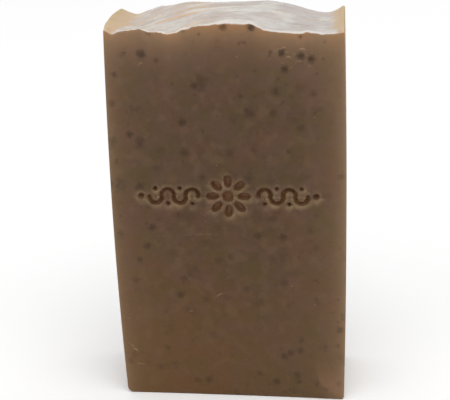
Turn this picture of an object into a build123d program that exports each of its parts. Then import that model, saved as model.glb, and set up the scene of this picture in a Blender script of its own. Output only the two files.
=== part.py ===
"""A bar of handmade soap, cut from a tall narrow loaf and standing on the loaf's bottom face.

The loaf is poured in a mould, so the left and right sides and the bottom are mould walls: bowed a
little outwards, drawn in towards the top, where the bar dried most, and rounded where they meet the
bottom. The front and back are knife cuts, flat and square. The top is the open surface of the pour,
heaped along the middle of the loaf and climbing the mould wall at both sides. An ornament is
stamped into the front face, and the lower right corner of that face is worn.

Frame: millimetres, +Z up, origin at the middle of the bottom face, front face towards -Y.
"""

import os
from math import radians, tan

from build123d import *

# The bar
bar_width = 55.7  # at the open top
bar_height = 96.5  # from the bottom face to the shoulder, the level that the top's heaps rise from
bar_thickness = 22.0
wall_lean = 0.33  # degrees that each mould wall leans in towards the top
wall_bow = 0.6  # how far each mould wall bulges halfway up
left_corner_radius = 1.4  # where the bottom meets the left wall, the more worn of the two corners
right_corner_radius = 0.7
cut_edge_radius = 0.5  # wear along the edges of the two knife cuts

# The open top. Each profile runs across the bar as (share of the half width, rise over the shoulder).
crest_room = 6.0  # stock over the shoulder, higher than any heap
cut_clearance = 2.0  # how far the cutting solids run past the stock
front_crest = [
    (-1.00, -0.4), (-0.92, 0.4), (-0.82, 1.4), (-0.72, 1.8), (-0.60, 1.1), (-0.46, 0.1), (-0.32, 1.5),
    (-0.18, 2.4), (0.15, 2.7), (0.28, 1.8), (0.40, 0.5), (0.60, 0.3), (0.86, 0.0), (1.00, 1.0),
]
front_middle_crest = [
    (-1.00, 2.6), (-0.92, 1.6), (-0.82, 0.7), (-0.70, 0.4), (-0.58, 0.8), (-0.46, 1.0), (-0.32, 1.6),
    (-0.18, 2.3), (0.15, 2.8), (0.30, 2.3), (0.44, 1.3), (0.62, 0.6), (0.86, 0.1), (1.00, 1.3),
]
back_middle_crest = [
    (-1.00, 2.4), (-0.93, 1.4), (-0.84, 0.4), (-0.72, 0.9), (-0.60, 1.5), (-0.46, 2.1), (-0.32, 2.5),
    (-0.18, 2.7), (0.15, 2.9), (0.32, 2.8), (0.46, 2.2), (0.64, 1.0), (0.86, 0.1), (1.00, 1.6),
]
back_crest = [
    (-1.00, 1.5), (-0.94, 0.7), (-0.86, 0.0), (-0.75, 0.8), (-0.60, 1.8), (-0.45, 2.6), (-0.30, 2.9),
    (-0.15, 2.9), (0.15, 2.8), (0.33, 3.0), (0.46, 2.6), (0.62, 1.5), (0.84, 0.0), (1.00, 1.8),
]
middle_crest_share = 0.35  # how far out the two middle profiles lie, as a share of the half thickness

# The stamped ornament: a rosette between two wavy lines, each with dots in its hollows and at its end
stamp_depth = 1.2
stamp_height = 56.3  # the ornament's middle, over the bottom face
rosette_eye_radius = 1.4
petal_count = 8
petal_half_length = 1.6
petal_half_width = 1.0
petal_ring_radius = 3.9
wave_line_width = 1.1
wave_start = 7.4  # from the rosette's centre
half_wave_length = 3.0
half_wave_rise = 1.8
half_wave_count = 4
hollow_dot_radius = 0.55
hollow_dot_offset = 2.0  # from the ornament's middle line
end_dot_radius = 0.8
end_dot_gap = 0.7  # clear space between the wavy line and its end dot

# The worn corner: a shallow round hollow, centred past the right wall, that takes the corner off
wear_depth = 1.0
wear_radius = 11.8  # of its rim on the front face
wear_centre_past_wall = 4.1
wear_centre_height = 9.6

# Worked out from the sizes above
stock_height = bar_height + crest_room
half_width_top = bar_width / 2
half_width_bottom = half_width_top + stock_height * tan(radians(wall_lean))
half_width_middle = (half_width_top + half_width_bottom) / 2 + wall_bow
half_thickness = bar_thickness / 2
wave_end = wave_start + half_wave_count * half_wave_length
end_dot_centre = wave_end + wave_line_width / 2 + end_dot_gap + end_dot_radius
wear_sphere_radius = (wear_radius**2 + wear_depth**2) / (2 * wear_depth)
front_plane = Plane.XZ.offset(half_thickness)
stamp_plane = Plane(origin=(0, -half_thickness, stamp_height), x_dir=(1, 0, 0), z_dir=(0, -1, 0))


def crest_waste(profile, forward):
    """The stock's section over one crest profile, on the plane that lies that far forward."""
    reach = half_width_middle + cut_clearance
    ceiling = stock_height + cut_clearance
    points = [(share * half_width_top, bar_height + rise) for share, rise in profile]
    with BuildSketch(Plane.XZ.offset(forward)) as waste:
        with BuildLine():
            Spline(*points)
            Polyline(
                points[-1],
                (reach, points[-1][1]),
                (reach, ceiling),
                (-reach, ceiling),
                (-reach, points[0][1]),
                points[0],
            )
        make_face()
    return waste.sketch


with BuildPart() as soap_bar:
    # The mould's section, as thick as the cut
    with BuildSketch(front_plane) as section:
        with BuildLine():
            wall = ThreePointArc(
                (half_width_bottom, 0),
                (half_width_middle, stock_height / 2),
                (half_width_top, stock_height),
            )
            Line((0, 0), wall @ 0)
            Line(wall @ 1, (0, stock_height))
            mirror(about=Plane.YZ)
        make_face()
        fillet(section.vertices().group_by(Axis.Y)[0].sort_by(Axis.X)[0], left_corner_radius)
        fillet(section.vertices().group_by(Axis.Y)[0].sort_by(Axis.X)[-1], right_corner_radius)
    extrude(amount=-bar_thickness)

    # Wear along the edges of both knife cuts, below the open top
    cut_edges = faces().filter_by(Axis.Y).edges()
    fillet(cut_edges.filter_by_position(Axis.Z, 0, bar_height), cut_edge_radius)

    # The open top
    middle_forward = middle_crest_share * half_thickness
    end_forward = half_thickness + cut_clearance
    crest_sections = [
        crest_waste(front_crest, end_forward),
        crest_waste(front_middle_crest, middle_forward),
        crest_waste(back_middle_crest, -middle_forward),
        crest_waste(back_crest, -end_forward),
    ]
    loft(crest_sections, mode=Mode.SUBTRACT)

    # The worn corner
    wear_centre_x = half_width_bottom + wear_centre_past_wall
    wear_centre_y = -half_thickness + wear_depth - wear_sphere_radius
    with Locations((wear_centre_x, wear_centre_y, wear_centre_height)):
        Sphere(wear_sphere_radius, mode=Mode.SUBTRACT)

    # The stamped ornament
    with BuildSketch(stamp_plane):
        Circle(rosette_eye_radius)
        with PolarLocations(petal_ring_radius, petal_count):
            Ellipse(petal_half_length, petal_half_width)
        for side in (-1, 1):
            with BuildLine():
                for step in range(half_wave_count):
                    near = side * (wave_start + step * half_wave_length)
                    far = side * (wave_start + (step + 1) * half_wave_length)
                    rise = half_wave_rise * (-1) ** step
                    ThreePointArc((near, 0), ((near + far) / 2, rise), (far, 0))
            trace(line_width=wave_line_width)
            for step in range(half_wave_count):
                along = side * (wave_start + (step + 0.5) * half_wave_length)
                with Locations((along, -hollow_dot_offset * (-1) ** step)):
                    Circle(hollow_dot_radius)
            with Locations((side * end_dot_centre, 0)):
                Circle(end_dot_radius)
    extrude(amount=-stamp_depth, mode=Mode.SUBTRACT)

soap_bar.part.label = "soap_bar"

os.makedirs("parts", exist_ok=True)
export_step(soap_bar.part, "parts/soap_bar.step")
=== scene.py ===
"""The looks of a bar of handmade soap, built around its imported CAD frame.

One mesh stands for the CAD solid. It starts as a plain box of small cells, finer where the relief
is finer. Its edges are rounded, and its walls and its open top take the CAD solid's own shape.
Then the relief goes in: the stamped ornament, the worn corner, the dents and scratches of the cut
face, the ragged crest, and the spoon's streaks on top. The masks that the material reads are
worked out on the way.

Lengths are millimetres until the mesh is made, and metres from there on.
"""

from math import cos, pi, radians, sin

import bmesh
import bpy
import numpy as np
from mathutils import Matrix, Vector, noise
from mathutils.bvhtree import BVHTree


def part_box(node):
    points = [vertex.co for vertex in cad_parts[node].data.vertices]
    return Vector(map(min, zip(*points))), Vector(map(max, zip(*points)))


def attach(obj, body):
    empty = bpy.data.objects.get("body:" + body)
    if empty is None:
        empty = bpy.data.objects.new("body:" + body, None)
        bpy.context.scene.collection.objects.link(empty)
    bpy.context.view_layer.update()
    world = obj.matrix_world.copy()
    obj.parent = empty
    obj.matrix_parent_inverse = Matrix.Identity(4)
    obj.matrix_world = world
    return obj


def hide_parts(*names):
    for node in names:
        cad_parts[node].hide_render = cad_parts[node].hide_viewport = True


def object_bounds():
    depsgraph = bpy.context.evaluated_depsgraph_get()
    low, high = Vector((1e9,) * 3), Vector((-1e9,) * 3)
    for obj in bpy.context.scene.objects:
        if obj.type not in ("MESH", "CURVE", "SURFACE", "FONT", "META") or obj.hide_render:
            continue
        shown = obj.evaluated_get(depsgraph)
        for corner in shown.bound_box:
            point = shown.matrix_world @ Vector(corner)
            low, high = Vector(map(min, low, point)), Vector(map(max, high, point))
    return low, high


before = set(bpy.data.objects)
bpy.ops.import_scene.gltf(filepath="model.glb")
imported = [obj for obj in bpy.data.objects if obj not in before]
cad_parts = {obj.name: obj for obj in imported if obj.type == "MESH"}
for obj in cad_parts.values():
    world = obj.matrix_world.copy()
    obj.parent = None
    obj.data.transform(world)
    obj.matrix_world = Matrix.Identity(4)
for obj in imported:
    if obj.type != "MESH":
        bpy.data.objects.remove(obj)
cad_low, cad_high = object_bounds()

MM = 0.001
bar_low, bar_high = (np.array(corner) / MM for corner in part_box("soap_bar"))
front = bar_low[1]

# The bar's own shape
heap_rise = 3.04  # from the shoulder to the highest heap of the open top
shoulder = bar_high[2] - heap_rise
stretch_depth = 23.0  # how far below the shoulder the heaps start to lift the cells
edge_radii_low = np.array([0.5, 0.5, 0.5])  # of the worn edges, along X, Y and Z
edge_radii_high = np.array([0.5, 0.5, 0.28])
left_corner_radius = 1.6  # where the bottom meets the left wall
right_corner_radius = 0.7
left_swell = 0.35  # how much further than the CAD's the left wall bulges
swing = 1.15  # how far the front face comes forward at its lower right corner
swing_height = 30.0
cut_wave_height = 0.08  # of the slow waves in both knife cuts
cut_wave_length = 14.0

# The cells of the mesh
largest_cell = 2.0
smallest_cell = 0.125  # along the stamp's outline and the nail marks
edge_cell = 0.25  # along the box's edges, and all over the open top
front_cell = 0.5  # the coarsest on the front face
plain_cell = 1.0  # the coarsest on the other faces
edge_strip = 0.6  # how far from an edge the cells stay that fine
stamp_strip = 0.6
nail_strip = 0.45
edge_growth = 0.55  # of the cells past a strip, for each millimetre
relief_growth = 0.5
oversize = 1.4  # a cell is cut when it is this many times as large as wanted
refine_rounds = 4
face_tolerance = 1e-3

# The stamped ornament, which repeats the CAD's
stamp_depth = 1.2
stamp_height = 56.3
rosette_eye_radius = 1.4
petal_count = 8
petal_half_length = 1.6
petal_half_width = 1.0
petal_ring_radius = 3.9
wave_line_width = 1.1
wave_start = 7.4
half_wave_length = 3.0
half_wave_rise = 1.8
half_wave_count = 4
hollow_dot_radius = 0.55
hollow_dot_offset = 2.0
end_dot_radius = 0.8
end_dot_gap = 0.7

# How the soap took the stamp
stamp_wall_run = 0.75  # how far in from the outline the recess reaches its full depth
stamp_unevenness = 0.15  # how far the hand-pressed outline wanders
rim_height = 0.18
rim_offset = 0.35  # from the outline to the rim's ridge
rim_reach = 0.55
rim_probe = 0.3  # how far up to look to tell whether a stroke lies above a point

# The worn corner, a round hollow with the CAD's rim, shallower than the CAD's
wear_depth = 0.55
wear_radius = 11.8
wear_centre_past_wall = 4.1
wear_centre_height = 9.6
wear_fade = 7.0  # how far back along the wall the edge is dragged in
wear_full_height = 5.0  # from which the hollow gets shallower, both down and up
wear_bottom_share = 0.25  # of the hollow's depth that is left at the bottom face
wear_upper_run = 13.0  # how far above that height the hollow ends

# Nail marks, scratches and cracks in the front face: centre X and Z, length, tilt in degrees, bend,
# and strength
nail_marks = [
    (12.6, 93.0, 1.9, 22, 0.3, 1.0), (14.1, 93.4, 1.1, -8, 0.2, 0.8), (14.5, 92.3, 1.5, 8, 0.3, 0.8),
    (15.3, 91.2, 1.2, -18, 0.2, 1.0), (17.2, 90.1, 1.4, 22, 0.3, 0.8), (18.3, 93.1, 1.5, -6, 0.2, 1.0),
    (18.9, 91.7, 1.6, -24, 0.2, 0.9), (16.3, 91.9, 0.8, -20, 0.1, 0.6), (19.8, 89.0, 1.0, 32, 0.1, 0.5),
    (15.6, 88.6, 1.1, 40, 0.2, 0.4), (-3.0, 29.2, 3.4, 36, 0.5, 0.5), (-17.2, 45.4, 5.4, 0, 0.1, 0.18),
    (-7.2, 46.0, 8.6, 2, 0.2, 0.22), (-26.5, 14.2, 1.7, -52, 0.2, 1.2), (-25.4, 12.9, 1.9, -38, 0.2, 1.0),
    (-24.6, 8.8, 2.2, -6, 0.1, 0.5), (-1.4, 96.2, 3.0, -5, 0.2, 0.8), (-10.4, 24.6, 1.2, 10, 0.2, 0.5),
    (-19.6, 89.8, 1.3, 20, 0.3, 0.5), (0.6, 95.4, 2.0, 4, 0.1, 0.5),
]
nail_depth = 0.11
nail_width = 0.14
nail_lip_share = 0.4  # how high the lips beside a mark stand, as a share of its depth

# The open top
crest_columns, crest_rows = 90, 32  # of the grid on which the CAD's open top is sampled
crest_inset = 0.6  # past the worn edges, where a ray would miss the top and meet a bulging wall
crest_bumps = [  # of the front crest, over the CAD's: X, spread, and rise
    (-28.2, 0.9, 0.35), (-25.9, 1.0, -0.60), (-19.6, 1.7, 0.60), (-14.6, 1.2, 0.30), (-9.4, 1.1, 0.30),
    (-3.4, 1.7, -0.35), (6.4, 1.7, 0.55), (13.0, 3.2, 0.40), (19.4, 0.8, 0.30), (20.8, 2.4, 0.40),
    (27.2, 1.4, -0.50),
]
crest_reach = 2.2  # how far back from the front crest its bumps run
left_climb = 0.6  # how much higher than the CAD's the left wall stands, a little behind its front
left_climb_back = 3.4
left_climb_spread = 2.4
right_climb = 0.5  # the same at the right wall's rear corner
right_climb_spread = 5.0
climb_run = 2.5  # how far from a wall its climb dies away
streak_sweep = 22.0  # how far forward the spoon's streaks have bent at the X below, near the left wall
streak_sweep_place = -22.0
streak_sweep_run = 16.0  # how far to the right of that X most of the bend is gone
streak_slant = 0.12  # forward, for each millimetre to the right
broad_streak_height = 0.30
ridge_height = 0.14
thin_streak_height = 0.11
rough_height = 0.07

# The ash, and how much lighter the walls are: partly dry skin, partly painted glow
ash_half_width = 27.0  # past which no ash laps over the front crest, and it has no white rim
thick_ash_start = -11.0  # the X from which more of the ash laps over the front crest
thick_ash_lap, thin_ash_lap = 0.22, 0.12
ash_rim_width = 1.2  # of the thick white rim along the front crest
ash_rim_extra = 0.7  # how much wider it is over the middle heap
middle_heap_spread = 9.0
# how strongly each wall is lightened, partly dry skin and partly painted glow
dry_glow_left, dry_glow_right = 0.42, 0.62

# The soap's colours in sRGB, from 0 to 255
soap_brown = (88, 60, 40)
soap_olive = (78, 61, 32)
soap_mauve = (87, 63, 52)
dark_mottle = (72, 53, 34)
light_cloud = (106, 83, 62)
# lighter, warmer browns lower down: painted bounce light from the floor
bounce_light_amber = (111, 76, 32)
bounce_light_umber = (99, 74, 45)
# The next four lighten the upper front and the walls: partly dry skin, partly painted glow of light
# scattered through the soap
upper_dry_glow_grey = (108, 86, 70)
wall_dry_glow_tan = (124, 97, 70)
edge_dry_glow_tan = (142, 118, 90)
crest_dry_glow_tan = (154, 124, 93)
crest_amber = (160, 112, 70)
herb_brown = (56, 38, 22)
pale_grain = (178, 160, 140)
# fresh soap's colour with painted bounce light that lifts the stamp's recess
fresh_soap_and_bounce_brown = (128, 87, 58)
rim_tan = (142, 118, 88)
# pale scratches, partly their own colour and partly a painted highlight of their raised flaps
pale_scratch_and_highlight = (182, 150, 128)
# painted highlight on the worn corner's bevelled, thin facet
worn_corner_highlight = (138, 104, 80)

# The open top's colours
ash_white = (200, 196, 190)
ash_grey = (188, 179, 174)
ash_peach = (201, 174, 148)
streak_line = (163, 150, 141)
# painted shade in the streaks' hollows, and painted highlight on their ridges
streak_hollow_shade = (176, 157, 141)
streak_ridge_highlight = (213, 208, 199)
crest_white = (214, 210, 204)
horn_tan = (194, 167, 134)
horn_olive = (174, 157, 110)
pit_brown = (108, 78, 62)


def smooth_step(value):
    """0 below 0, 1 above 1, and an S curve between."""
    value = np.clip(value, 0.0, 1.0)
    return value * value * (3.0 - 2.0 * value)


def bell(distance, spread):
    """1 at no distance, and dying away over the spread."""
    return np.exp(-((distance / spread) ** 2))


def lumps(points, size, seed=0.0):
    """Smooth noise from about -1 to 1 at each point, with lumps of about that size."""
    scaled = points / size + seed
    return np.array([noise.noise(point) for point in scaled.tolist()])


# ---------------------------------------------------------------- the CAD solid's own surfaces


def cad_tree():
    """The CAD solid's surface, ready for rays."""
    return BVHTree.FromObject(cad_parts["soap_bar"], bpy.context.evaluated_depsgraph_get())


def fit_wall(tree, side):
    """The distance of one mould wall from the middle at each height, as a quadratic."""
    heights = np.linspace(0.1, 0.9, 17) * shoulder
    outside = 2.0 * bar_high[0]
    reach = []
    for height in heights:
        start = Vector((side * outside, 0.0, height)) * MM
        hit = tree.ray_cast(start, Vector((-side, 0.0, 0.0)))[0]
        reach.append(abs(hit.x) / MM)
    return np.polynomial.Polynomial.fit(heights, reach, 2).convert()


def crest_samples(tree, left_wall, right_wall):
    """Heights of the open top on a grid, as (X values, Y values, heights)."""
    xs = np.linspace(crest_inset - left_wall(shoulder), right_wall(shoulder) - crest_inset, crest_columns)
    ys = np.linspace(bar_low[1] + crest_inset, bar_high[1] - crest_inset, crest_rows)
    above = 2.0 * bar_high[2]
    heights = np.zeros((len(xs), len(ys)))
    for column, x in enumerate(xs):
        for row, y in enumerate(ys):
            hit = tree.ray_cast(Vector((x, y, above)) * MM, Vector((0.0, 0.0, -1.0)))[0]
            heights[column, row] = hit.z / MM
    return xs, ys, heights


def crest_height(samples, x, y):
    """The open top's height at each point, between the samples around it."""
    xs, ys, heights = samples
    just_short = 1.001  # of the last sample, so that there is always a next one
    across = np.clip(np.interp(x, xs, np.arange(len(xs))), 0, len(xs) - just_short)
    along = np.clip(np.interp(y, ys, np.arange(len(ys))), 0, len(ys) - just_short)
    column, row = across.astype(int), along.astype(int)
    u, v = across - column, along - row
    near = heights[column, row] * (1 - u) + heights[column + 1, row] * u
    far = heights[column, row + 1] * (1 - u) + heights[column + 1, row + 1] * u
    return near * (1 - v) + far * v


# ---------------------------------------------------------------- outlines of the relief


def arc_distance(x, z, centre, radius, half_angle):
    """The distance to an arc that is centred on the Z direction and spans the angle both ways."""
    dx, dz = x - centre[0], z - centre[1]
    angle = np.clip(np.arctan2(dx, dz), -half_angle, half_angle)
    return np.hypot(dx - radius * np.sin(angle), dz - radius * np.cos(angle))


def stamp_distance(x, z):
    """The distance to the ornament's outline, negative inside it."""
    z = z - stamp_height
    aside = np.abs(x)
    distance = np.hypot(x, z) - rosette_eye_radius

    step = 2 * pi / petal_count
    turn = np.round(np.arctan2(z, x) / step) * step
    along = x * np.cos(turn) + z * np.sin(turn) - petal_ring_radius
    across = z * np.cos(turn) - x * np.sin(turn)
    unit = np.hypot(along / petal_half_length, across / petal_half_width)
    slope = np.hypot(along / petal_half_length**2, across / petal_half_width**2)
    distance = np.minimum(distance, unit * (unit - 1) / np.maximum(slope, 1e-6))

    half_chord = half_wave_length / 2
    arc_radius = (half_chord**2 + half_wave_rise**2) / (2 * half_wave_rise)
    half_angle = pi - np.arcsin(half_chord / arc_radius)
    for wave in range(half_wave_count):
        flip = (-1) ** wave
        middle = wave_start + (wave + 0.5) * half_wave_length
        centre = (middle, half_wave_rise - arc_radius)
        line = arc_distance(aside, z * flip, centre, arc_radius, half_angle)
        dot = np.hypot(aside - middle, z * flip + hollow_dot_offset)
        distance = np.minimum(distance, line - wave_line_width / 2)
        distance = np.minimum(distance, dot - hollow_dot_radius)

    wave_end = wave_start + half_wave_count * half_wave_length
    end_dot = wave_end + wave_line_width / 2 + end_dot_gap + end_dot_radius
    return np.minimum(distance, np.hypot(aside - end_dot, z) - end_dot_radius)


def nail_distance(x, z):
    """The distance to the nearest nail mark or scratch, each a shallow parabola, and its strength."""
    nearest = np.full(len(x), 1e3)
    strength = np.zeros(len(x))
    for centre_x, centre_z, length, tilt, bend, force in nail_marks:
        turn = radians(tilt)
        along = (x - centre_x) * cos(turn) + (z - centre_z) * sin(turn)
        across = (z - centre_z) * cos(turn) - (x - centre_x) * sin(turn)
        half = length / 2
        held = np.clip(along, -half, half)
        curve = bend * (0.5 - (held / half) ** 2)
        distance = np.hypot(along - held, across - curve)
        strength = np.where(distance < nearest, force * (1.0 - 0.6 * (held / half) ** 2), strength)
        nearest = np.minimum(nearest, distance)
    return nearest, strength


# ---------------------------------------------------------------- the box of cells


def cell_box(low, high):
    """A closed box of square cells in rest space."""
    bm = bmesh.new()
    size = high - low
    place = Matrix.Translation((low + high) / 2) @ Matrix.Diagonal((*size, 1.0))
    bmesh.ops.create_cube(bm, size=1.0, matrix=place)
    for axis in range(3):
        cuts = int(round(size[axis] / largest_cell)) - 1
        across = [e for e in bm.edges if abs(e.verts[0].co[axis] - e.verts[1].co[axis]) > face_tolerance]
        bmesh.ops.subdivide_edges(bm, edges=across, cuts=cuts, use_grid_fill=True)
    return bm


def wanted_cell(centres, low, high):
    """How large a cell may be at each point of the box."""
    x, y, z = centres.T
    on_front = y < low[1] + face_tolerance
    on_top = z > high[2] - face_tolerance
    edge_gap = np.sort(np.minimum(centres - low, high - centres), axis=1)[:, 1]
    past_stamp = np.maximum(np.abs(stamp_distance(x, z)) - stamp_strip, 0.0)
    past_nails = np.maximum(nail_distance(x, z)[0] - nail_strip, 0.0)

    wanted = edge_cell + edge_growth * np.maximum(edge_gap - edge_strip, 0.0)
    wanted = np.minimum(wanted, np.where(on_front, front_cell, plain_cell))
    wanted = np.where(on_top, edge_cell, wanted)
    fine = smallest_cell + relief_growth * np.minimum(past_stamp, past_nails)
    return np.where(on_front, np.minimum(wanted, fine), wanted)


def refine(bm, low, high):
    """Cuts cells in four where they are much larger than wanted, for a few rounds at most."""
    for _ in range(refine_rounds):
        quads = [face for face in bm.faces if len(face.verts) == 4]
        centres = np.array([face.calc_center_median() for face in quads])
        sizes = np.array([max(edge.calc_length() for edge in face.edges) for face in quads])
        coarse = sizes > oversize * wanted_cell(centres, low, high)
        chosen = {edge for face, cut in zip(quads, coarse) if cut for edge in face.edges}
        if not chosen:
            break
        bmesh.ops.subdivide_edges(bm, edges=list(chosen), cuts=1, use_grid_fill=True)


def round_edges(points, low, high):
    """Rounds the box's edges, by wrapping what lies past an inner box around an ellipse."""
    core = np.clip(points, low + edge_radii_low, high - edge_radii_high)
    radii = np.where(points > core, edge_radii_high, edge_radii_low)
    past = (points - core) / radii
    return core + radii * past / np.linalg.norm(past, axis=1)[:, None]


def round_corner(points, low, high, side, radius):
    """Rounds the long corner between the bottom and one wall."""
    x, z = points[:, 0] * side, points[:, 2]
    out = np.maximum(x - (high[0] - radius), 0.0) / radius
    down = np.maximum(low[2] + radius - z, 0.0) / radius
    length = np.hypot(out, down)
    pull = np.where(length > 0, np.maximum(out, down) / np.maximum(length, 1e-9), 1.0)
    inside = (out > 0) & (down > 0)
    points[inside, 0] = side * (high[0] - radius + radius * (out * pull)[inside])
    points[inside, 2] = low[2] + radius - radius * (down * pull)[inside]


# ---------------------------------------------------------------- the relief


def streak_flow(x, y):
    """Coordinates of the spoon's streaks: across them, and along them."""
    sweep = streak_sweep * np.exp((streak_sweep_place - x) / streak_sweep_run)
    return y + sweep + streak_slant * x, x


def streak_relief(x, y):
    """The height of the streaks on the open top."""
    flat = np.zeros(len(x))
    spots = np.column_stack([x, y, flat])
    across, along = streak_flow(x, y)
    across = across + 0.6 * lumps(spots, 9.0, 41.0)

    def streaks(width, length, seed):
        return lumps(np.column_stack([across / width, along / length, flat]), 1.0, seed)

    broad = broad_streak_height * streaks(2.4, 22.0, 3.1)
    ridges = ridge_height * (1.0 - 2.0 * np.abs(streaks(0.9, 11.0, 7.7)))
    thin = thin_streak_height * streaks(0.42, 6.0, 12.3)
    broken = smooth_step(0.55 + 0.9 * lumps(spots, 5.0, 33.0))
    combed = smooth_step((x + 25.0) / 6.0) * (1.0 - 0.55 * smooth_step((x - 8.0) / 10.0))
    return combed * (broad + broken * (ridges + thin)) + rough_height * lumps(spots, 1.1, 21.0)


def crest_detail(x, y):
    """The ragged front crest, where the knife left it, and the climbs at two of the top's corners."""
    spots = np.column_stack([x, y, np.zeros(len(x))])
    crest = 0.12 * lumps(spots, 2.1, 51.0) + 0.10 * lumps(spots, 0.9, 57.0)
    for place, spread, rise in crest_bumps:
        crest += rise * bell(x - place, spread)
    at_left = np.exp((bar_low[0] - x) / climb_run) * bell(y - front - left_climb_back, left_climb_spread)
    at_right = np.exp((x - bar_high[0]) / climb_run) * bell(y - bar_high[1], right_climb_spread)
    return crest * bell(y - front, crest_reach) + left_climb * at_left + right_climb * at_right


def wear_depths(x, z, wall):
    """How deep the worn corner's hollow is at each point of the front face, and 0 outside it."""
    sphere = (wear_radius**2 + wear_depth**2) / (2 * wear_depth)
    away = np.hypot(x - wall(0.0) - wear_centre_past_wall, z - wear_centre_height)
    inside = np.sqrt(np.maximum(sphere**2 - away**2, 0.0)) - (sphere - wear_depth)
    below = wear_bottom_share + (1.0 - wear_bottom_share) * smooth_step(z / wear_full_height)
    above = 1.0 - smooth_step((z - wear_full_height) / wear_upper_run)
    return np.maximum(inside, 0.0) * below * above


def front_relief(x, z):
    """How deep each point of the front face is pressed in, and the masks that go with it."""
    spots = np.column_stack([x, np.zeros(len(x)), z])
    wander = stamp_unevenness * (lumps(spots, 1.7, 17.0) + 0.7 * lumps(spots, 0.6, 19.0))
    stamp = stamp_distance(x, z) + wander
    recess = smooth_step(-stamp / stamp_wall_run + 0.1)

    # The soap that the stamp pressed out, most of it below each stroke
    under = stamp_distance(x, z + rim_probe) < stamp
    reach = rim_reach * np.where(under, 1.5, 0.75)
    share = np.where(under, 1.5, 0.7) * (0.7 + 0.9 * lumps(spots, 2.3, 23.0))
    rim = bell(stamp - rim_offset, reach) * (stamp > 0) * share

    # Broken grooves, each between two low lips
    nails, force = nail_distance(x, z)
    force = force * smooth_step(0.6 + 1.2 * lumps(spots, 1.1, 71.0))
    groove = force * bell(nails, nail_width)
    lip = force * bell(nails - 2 * nail_width, nail_width)

    depth = stamp_depth * recess - rim_height * rim + nail_depth * (groove - nail_lip_share * lip)
    return depth, {"recess": recess, "rim": rim, "nail": groove}


def top_masks(points, wall_gap, crest_gap, on_front, on_top):
    """Where the ash lies, and what its colours follow."""
    x, y, z = points.T
    lap = np.where(x > thick_ash_start, thick_ash_lap, thin_ash_lap) + 0.14 * lumps(points, 1.5, 61.0)
    lapped = smooth_step((lap - crest_gap) / 0.2) * smooth_step((ash_half_width - np.abs(x)) / 2.0)
    rim_width = ash_rim_width + ash_rim_extra * bell(x, middle_heap_spread)
    ash_rim = bell(y - front, rim_width) * smooth_step((ash_half_width - np.abs(x)) / 1.5)
    across, along = streak_flow(x, y)

    # The tan horns up the walls are narrower on the right, and narrowest at the front
    horn_gap = wall_gap * np.where(x > 0, 1.6, 1.0) + 2.8 * bell(y - front, 3.0)
    return {
        "ash": np.where(on_front, lapped, on_top),
        "ash_rim": np.where(on_top, ash_rim, 0.0),
        "horn_gap": horn_gap,
        "warm": smooth_step((5.0 - x) / 16.0),
        "flow": np.column_stack([across, along, z]),
    }


def shape_bar(rest, low, high):
    """Takes the box's points to the bar's surface. Returns them with the material's masks."""
    tree = cad_tree()
    swell = 4.0 * left_swell * np.polynomial.Polynomial([0.0, 1.0 / shoulder, -1.0 / shoulder**2])
    left_wall, right_wall = fit_wall(tree, -1) + swell, fit_wall(tree, 1)
    samples = crest_samples(tree, left_wall, right_wall)

    on_front = rest[:, 1] < low[1] + face_tolerance
    on_back = rest[:, 1] > high[1] - face_tolerance
    on_top = rest[:, 2] > high[2] - face_tolerance
    points = round_edges(rest, low, high)
    round_corner(points, low, high, -1, left_corner_radius)
    round_corner(points, low, high, 1, right_corner_radius)

    # The walls and the open top
    x, y, z = points.T.copy()
    x = x * np.where(x > 0, right_wall(z), left_wall(z)) / high[0]
    streaks = streak_relief(x, y) + crest_detail(x, y)
    crest = crest_height(samples, x, y) + streaks
    lift = smooth_step((z - (shoulder - stretch_depth)) / stretch_depth)
    z = z + lift * (crest - shoulder)
    wall_gap = np.where(x > 0, right_wall(z), left_wall(z)) - np.abs(x)
    crest_gap = np.maximum(crest - z, 0.0)

    masks = {
        "wall_gap": wall_gap,
        "crest_gap": crest_gap,
        # the streaks' height, which the material turns into painted shade and painted highlight
        "streak": np.where(on_top, streaks, 0.0),
        # how strongly each wall is lightened: partly dry skin, partly painted glow
        "dry_glow": np.where(x > 0, dry_glow_right, dry_glow_left),
    }
    depth, front_masks = front_relief(x[on_front], z[on_front])
    y[on_front] += depth
    for name, values in front_masks.items():
        masks[name] = np.zeros(len(x))
        masks[name][on_front] = values

    # The worn corner drags the wall's edge in with it
    fade = 1.0 - smooth_step((y - front) / wear_fade)
    worn = wear_depths(x, z, right_wall)
    y = y + worn * np.where(on_front, 1.0, fade)
    # where the worn corner lies, which the material lightens as a painted highlight
    masks["worn"] = smooth_step(worn / 0.10) * fade * (1.0 - smooth_step((z - 3.0) / 9.0))

    # The front cut swings forward towards its lower right corner
    aside = np.clip((x - bar_low[0]) / (bar_high[0] - bar_low[0]), 0.0, 1.0)
    low_down = 1.0 - smooth_step(z / swing_height)
    y = y - swing * aside**2 * low_down * np.clip(-y / bar_high[1], 0.0, 1.0)

    # Slow waves of the two knife cuts, which only sink the faces
    waves = cut_wave_height * (1.0 + lumps(np.column_stack([x, y, z]), cut_wave_length, 5.0))
    y = y - np.where(on_front | on_back, np.sign(y) * waves, 0.0)

    points = np.column_stack([x, y, z])
    masks.update(top_masks(points, wall_gap, crest_gap, on_front, on_top))
    return points, masks


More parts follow.
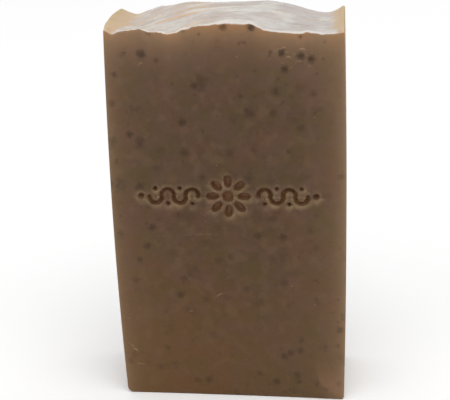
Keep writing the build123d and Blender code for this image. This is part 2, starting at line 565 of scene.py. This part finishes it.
def make_bar(material):
    """The bar's one piece."""
    low = np.array([-bar_high[0], bar_low[1], 0.0])
    high = np.array([bar_high[0], bar_high[1], shoulder])
    bm = cell_box(low, high)
    refine(bm, low, high)
    mesh = bpy.data.meshes.new("soap_block")
    bm.to_mesh(mesh)
    bm.free()

    rest = np.zeros(len(mesh.vertices) * 3, np.float32)
    mesh.vertices.foreach_get("co", rest)
    points, masks = shape_bar(rest.reshape(-1, 3).astype(float), low, high)
    mesh.vertices.foreach_set("co", (points * MM).astype(np.float32).ravel())
    for name, values in masks.items():
        if values.ndim == 1:
            layer = mesh.attributes.new(name, "FLOAT", "POINT")
            layer.data.foreach_set("value", values.astype(np.float32))
        else:
            layer = mesh.attributes.new(name, "FLOAT_VECTOR", "POINT")
            layer.data.foreach_set("vector", values.astype(np.float32).ravel())

    bm = bmesh.new()
    bm.from_mesh(mesh)
    bmesh.ops.triangulate(bm, faces=bm.faces, quad_method="SHORT_EDGE", ngon_method="BEAUTY")
    bmesh.ops.recalc_face_normals(bm, faces=bm.faces)
    bm.to_mesh(mesh)
    bm.free()
    mesh.polygons.foreach_set("use_smooth", [True] * len(mesh.polygons))
    mesh.update()

    bar = bpy.data.objects.new("soap_block", mesh)
    bpy.context.scene.collection.objects.link(bar)
    mesh.materials.append(material)
    return bar


# ---------------------------------------------------------------- the material


def linear(shade):
    """An sRGB colour from 0 to 255 as the linear RGBA that a node takes."""
    shares = np.array(shade) / 255.0
    values = np.where(shares <= 0.04045, shares / 12.92, ((shares + 0.055) / 1.055) ** 2.4)
    return (*values, 1.0)


class Graph:
    """Short names for the nodes that a material is made of."""

    def __init__(self, tree):
        self.tree = tree
        tree.nodes.clear()

    def add(self, kind, settings=None, **inputs):
        made = self.tree.nodes.new(kind)
        for name, value in (settings or {}).items():
            setattr(made, name, value)
        for name, value in inputs.items():
            self.set(made.inputs[name.replace("_", " ")], value)
        return made

    def set(self, socket, value):
        if isinstance(value, bpy.types.NodeSocket):
            self.tree.links.new(value, socket)
        else:
            socket.default_value = value

    def maths(self, operation, first, second=0.0, third=0.0):
        made = self.tree.nodes.new("ShaderNodeMath")
        made.operation = operation
        for socket, value in zip(made.inputs, (first, second, third)):
            self.set(socket, value)
        return made.outputs[0]

    def times(self, first, second):
        return self.maths("MULTIPLY", first, second)

    def largest(self, first, second):
        return self.maths("MAXIMUM", first, second)

    def fade(self, gap, length):
        """1 where the gap is 0, and dying away over the length."""
        return self.maths("EXPONENT", self.maths("DIVIDE", gap, -length))

    def mix(self, share, first, second):
        made = self.add("ShaderNodeMix", {"data_type": "RGBA"})
        for index, value in ((0, share), (6, first), (7, second)):
            self.set(made.inputs[index], value)
        return made.outputs[2]

    def tint(self, base, shade, share, strength=1.0):
        """The base colour under some share of an sRGB shade."""
        if strength != 1.0:
            share = self.times(share, strength)
        return self.mix(share, base, linear(shade))

    def attribute(self, name, output="Fac"):
        return self.add("ShaderNodeAttribute", {"attribute_name": name}).outputs[output]

    def span(self, value, low, high, to_low=0.0, to_high=1.0):
        made = self.add("ShaderNodeMapRange", {"interpolation_type": "SMOOTHSTEP"})
        for socket, number in zip(made.inputs, (value, low, high, to_low, to_high)):
            self.set(socket, number)
        return made.outputs[0]

    def stretch(self, vector, scale):
        return self.add("ShaderNodeMapping", Vector=vector, Scale=scale).outputs[0]

    def noise(self, vector, scale, detail=2.0, roughness=0.5):
        made = self.add(
            "ShaderNodeTexNoise", Vector=vector, Scale=scale, Detail=detail, Roughness=roughness
        )
        return made.outputs[0]

    def specks(self, vector, spacing, radius, share, wobble):
        """Soft specks about that far apart, in only a share of the cells."""
        bent = self.add("ShaderNodeTexNoise", Vector=vector, Scale=wobble, Detail=1.0)
        offset = self.add("ShaderNodeVectorMath", {"operation": "SCALE"})
        self.set(offset.inputs[0], bent.outputs["Color"])
        self.set(offset.inputs["Scale"], 0.9 * radius)
        moved = self.add("ShaderNodeVectorMath", {"operation": "ADD"})
        self.set(moved.inputs[0], vector)
        self.set(moved.inputs[1], offset.outputs[0])
        cells = self.add("ShaderNodeTexVoronoi", Vector=moved.outputs[0], Scale=1.0 / spacing)
        draw = self.add("ShaderNodeSeparateColor", Color=cells.outputs["Color"])
        wide = self.times(draw.outputs["Green"], radius / spacing)
        wide = self.maths("ADD", wide, 0.35 * radius / spacing)
        share_out = self.maths("DIVIDE", cells.outputs["Distance"], wide)
        inside = self.span(share_out, 1.0, 0.15)
        kept = self.maths("LESS_THAN", draw.outputs["Red"], share)
        return self.times(inside, kept)


def body_colour(g, place):
    """Brown soap with herb specks, lighter and tan along the walls and under the crest: partly dry skin,
    partly painted glow.
    """
    axes = g.add("ShaderNodeSeparateXYZ", Vector=place)
    aside, height = axes.outputs["X"], axes.outputs["Z"]
    wall_gap = g.attribute("wall_gap")
    crest_gap = g.attribute("crest_gap")
    dry_glow = g.attribute("dry_glow")

    # Brown, mottled redder, greener and greyer in soft patches, and warmer and lighter lower down, a
    # painted bounce of light from the floor
    body = g.mix(g.span(g.noise(place, 0.09, 2.0), 0.32, 0.66), linear(soap_brown), linear(soap_olive))
    body = g.tint(body, soap_mauve, g.span(g.noise(place, 0.21, 3.0, 0.6), 0.40, 0.66, 0.0, 0.65))
    body = g.tint(body, dark_mottle, g.span(g.noise(place, 0.5, 4.0, 0.6), 0.42, 0.68, 0.0, 0.42))
    body = g.tint(body, light_cloud, g.span(g.noise(place, 0.34, 2.0), 0.50, 0.70, 0.0, 0.28))
    # Painted floor bounce light, lighter and warmer towards the bottom
    lower = g.mix(g.span(aside, -22.0, 22.0), linear(bounce_light_amber), linear(bounce_light_umber))
    body = g.mix(g.span(height, 60.0, 0.0, 0.0, 0.40), body, lower)

    # Partly dry skin, partly painted glow of light scattered in through the top and the walls: greyer in
    # the upper part, lighter towards the mould walls, tan under the crest; amber patches under the crest
    # too
    near_wall = g.times(g.fade(wall_gap, 1.1), dry_glow)
    body = g.tint(body, upper_dry_glow_grey, g.fade(crest_gap, 9.0), 0.45)
    body = g.tint(body, wall_dry_glow_tan, g.times(g.fade(wall_gap, 5.0), dry_glow))
    body = g.tint(body, edge_dry_glow_tan, near_wall)
    body = g.tint(body, crest_dry_glow_tan, g.fade(crest_gap, 3.4), 0.78)
    patchy = g.span(g.noise(place, 0.17, 2.0), 0.40, 0.60, 0.0, 0.45)
    middle_heap = g.span(g.maths("ABSOLUTE", aside), 11.0, 4.0, 0.0, 0.6)
    band = g.times(g.fade(crest_gap, 1.9), g.largest(patchy, middle_heap))
    body = g.tint(body, crest_amber, band)

    # Herb specks under the surface, in drifts, more of them higher up, and a few pale grains
    drift = g.span(g.noise(place, 0.06, 1.0), 0.40, 0.62, 0.5, 1.0)
    drift = g.times(drift, g.span(height, 30.0, 70.0, 0.68, 1.0))
    drift = g.times(drift, g.maths("SUBTRACT", 1.0, near_wall))
    fine = g.specks(place, spacing=1.8, radius=0.5, share=0.34, wobble=2.4)
    large = g.specks(place, spacing=3.4, radius=1.2, share=0.52, wobble=1.4)
    bruise = g.specks(place, spacing=5.6, radius=2.8, share=0.55, wobble=0.7)
    herbs = g.largest(g.largest(g.times(fine, 0.50), g.times(large, 0.86)), g.times(bruise, 0.62))
    body = g.tint(body, herb_brown, g.times(herbs, drift))
    grains = g.specks(place, spacing=3.0, radius=0.24, share=0.16, wobble=0.6)
    body = g.tint(body, pale_grain, grains, 0.5)

    # Marks: warmer in the stamp, partly the fresh soap and partly painted bounce light in the recess;
    # lighter on its rims; lighter on nail marks, partly their pale colour and partly a painted highlight;
    # lighter on the worn corner, a painted highlight
    # Painted bounce light in the stamp's recess, over the fresh soap's warmer colour
    body = g.tint(body, fresh_soap_and_bounce_brown, g.attribute("recess"), 0.75)
    body = g.tint(body, rim_tan, g.attribute("rim"), 0.34)
    # Nail marks: partly their pale colour, partly a painted highlight of flaps catching the light
    body = g.tint(body, pale_scratch_and_highlight, g.attribute("nail"), 0.62)
    # Painted highlight where the worn corner's facet turns to the light
    return g.tint(body, worn_corner_highlight, g.attribute("worn"), 0.42)


def ash_colour(g, place, flow):
    """Chalky ash in streaks, peach to the left, and tan again up the mould walls."""
    streak = g.attribute("streak")
    ash = g.mix(g.span(g.noise(place, 0.16, 2.0), 0.40, 0.60), linear(ash_white), linear(ash_grey))
    banding = g.span(g.noise(flow, 0.5, 1.5), 0.42, 0.62, 0.0, 0.85)
    ash = g.tint(ash, ash_peach, g.times(g.attribute("warm"), banding))
    ash = g.tint(ash, streak_line, g.span(g.noise(flow, 2.0, 4.0, 0.65), 0.52, 0.68, 0.0, 0.75))
    # Painted shade in the streaks' hollows and painted highlight on their ridges, following the relief's
    # height
    ash = g.tint(ash, streak_hollow_shade, g.span(streak, -0.06, -0.30, 0.0, 0.60))
    ash = g.tint(ash, streak_ridge_highlight, g.span(streak, 0.08, 0.26, 0.0, 0.75))
    ash = g.tint(ash, crest_white, g.attribute("ash_rim"), 0.85)

    uneven = g.span(g.noise(place, 0.3, 2.0), 0.2, 0.8, -1.4, 1.4)
    horn = g.maths("ADD", g.attribute("horn_gap"), uneven)
    ash = g.tint(ash, horn_tan, g.span(horn, 6.2, 3.0, 0.0, 0.85))
    ash = g.tint(ash, horn_olive, g.span(horn, 2.4, 0.2, 0.0, 0.45))
    pits = g.specks(place, spacing=2.2, radius=0.26, share=0.34, wobble=0.8)
    return g.tint(ash, pit_brown, pits, 0.8)


def soap_material():
    """Satin, slightly translucent soap with chalky ash on its open top."""
    material = bpy.data.materials.new("cured_soap")
    material.use_nodes = True
    g = Graph(material.node_tree)
    place = g.stretch(g.add("ShaderNodeTexCoord").outputs["Object"], (1.0 / MM,) * 3)
    flow = g.stretch(g.attribute("flow", "Vector"), (1.0, 0.1, 0.1))
    on_top = g.attribute("ash")

    roughness = g.add("ShaderNodeMix", {"data_type": "FLOAT"})
    satin = g.span(g.noise(place, 1.3, 3.0), 0.3, 0.7, 0.42, 0.58)
    chalky = 0.85
    for index, value in ((0, on_top), (2, satin), (3, chalky)):
        g.set(roughness.inputs[index], value)
    relief = g.mix(on_top, g.noise(place, 2.2, 5.0, 0.6), g.noise(flow, 3.2, 4.0, 0.65))
    bump = g.add("ShaderNodeBump", Strength=0.35, Distance=0.00012, Height=relief)

    shader = g.add(
        "ShaderNodeBsdfPrincipled",
        Base_Color=g.mix(on_top, body_colour(g, place), ash_colour(g, place, flow)),
        Roughness=roughness.outputs[0],
        Normal=bump.outputs[0],
    )
    shader.inputs["Subsurface Weight"].default_value = 0.35
    shader.inputs["Subsurface Radius"].default_value = (1.0, 0.6, 0.35)
    shader.inputs["Subsurface Scale"].default_value = 0.0018
    shader.inputs["IOR"].default_value = 1.45
    shader.inputs["Specular IOR Level"].default_value = 0.25
    output = g.add("ShaderNodeOutputMaterial")
    g.set(output.inputs["Surface"], shader.outputs[0])
    return material


# ---------------------------------------------------------------- the studio


def add_floor():
    """A large pale floor at the bar's foot."""
    bm = bmesh.new()
    bmesh.ops.create_grid(bm, x_segments=1, y_segments=1, size=4.0)
    mesh = bpy.data.meshes.new("studio_floor")
    bm.to_mesh(mesh)
    bm.free()
    floor = bpy.data.objects.new("studio_floor", mesh)
    floor.location.z = cad_low.z
    bpy.context.scene.collection.objects.link(floor)
    material = bpy.data.materials.new("floor_white")
    material.use_nodes = True
    shader = material.node_tree.nodes["Principled BSDF"]
    shader.inputs["Base Color"].default_value = (0.97, 0.97, 0.97, 1.0)
    shader.inputs["Roughness"].default_value = 0.9
    shader.inputs["Specular IOR Level"].default_value = 0.0
    mesh.materials.append(material)


def add_area(name, place, aim, size, power):
    """A square soft light that looks at a point."""
    data = bpy.data.lights.new(name, "AREA")
    data.size = size
    data.energy = power
    lamp = bpy.data.objects.new(name, data)
    lamp.location = place
    lamp.rotation_mode = "QUATERNION"
    lamp.rotation_quaternion = (Vector(aim) - Vector(place)).to_track_quat("-Z", "Y")
    bpy.context.scene.collection.objects.link(lamp)


def add_world(level):
    """Even light from all round, and plain white where the camera or a gloss looks."""
    world = bpy.data.worlds.new("studio_sky")
    world.use_nodes = True
    bpy.context.scene.world = world
    g = Graph(world.node_tree)
    path = g.add("ShaderNodeLightPath")
    seen = g.largest(path.outputs["Is Camera Ray"], path.outputs["Is Glossy Ray"])
    seen = g.largest(seen, path.outputs["Is Transmission Ray"])
    strength = g.maths("MULTIPLY_ADD", seen, 1.0 - level, level)
    sky = g.add("ShaderNodeBackground", Color=(1.0, 1.0, 1.0, 1.0), Strength=strength)
    output = g.add("ShaderNodeOutputWorld")
    g.set(output.inputs["Surface"], sky.outputs[0])


def add_camera():
    """A long lens, a little above the bar and to its right, held slightly askew."""
    azimuth, elevation, roll = radians(6.48), radians(22.44), radians(2.06)
    distance = 0.2808
    aim = Vector((-0.0008, cad_low.y, cad_low.z + 0.0554))
    forward = Vector((-sin(azimuth) * cos(elevation), cos(azimuth) * cos(elevation), -sin(elevation)))
    right = Vector((cos(azimuth), sin(azimuth), 0.0))
    up = right.cross(forward)
    tilted_right = cos(roll) * right - sin(roll) * up
    tilted_up = sin(roll) * right + cos(roll) * up
    turn = Matrix((tilted_right, tilted_up, -forward)).transposed()
    data = bpy.data.cameras.new("camera")
    data.lens = 92.0
    data.sensor_width = 36.0
    data.clip_start, data.clip_end = 0.01, 20.0
    camera = bpy.data.objects.new("camera", data)
    camera.matrix_world = Matrix.Translation(aim - forward * distance) @ turn.to_4x4()
    bpy.context.scene.collection.objects.link(camera)
    bpy.context.scene.camera = camera


add_camera()
bar = make_bar(soap_material())
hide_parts("soap_bar")
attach(bar, "root")

add_floor()
centre = (cad_low + cad_high) / 2
add_area("key_light", (0.4, -0.8, 2.2), centre, 2.0, 23.0)
add_area("fill_light", (-1.4, -1.3, 0.9), centre, 1.4, 4.0)
add_world(0.74)
bpy.context.scene.view_settings.view_transform = "Standard"
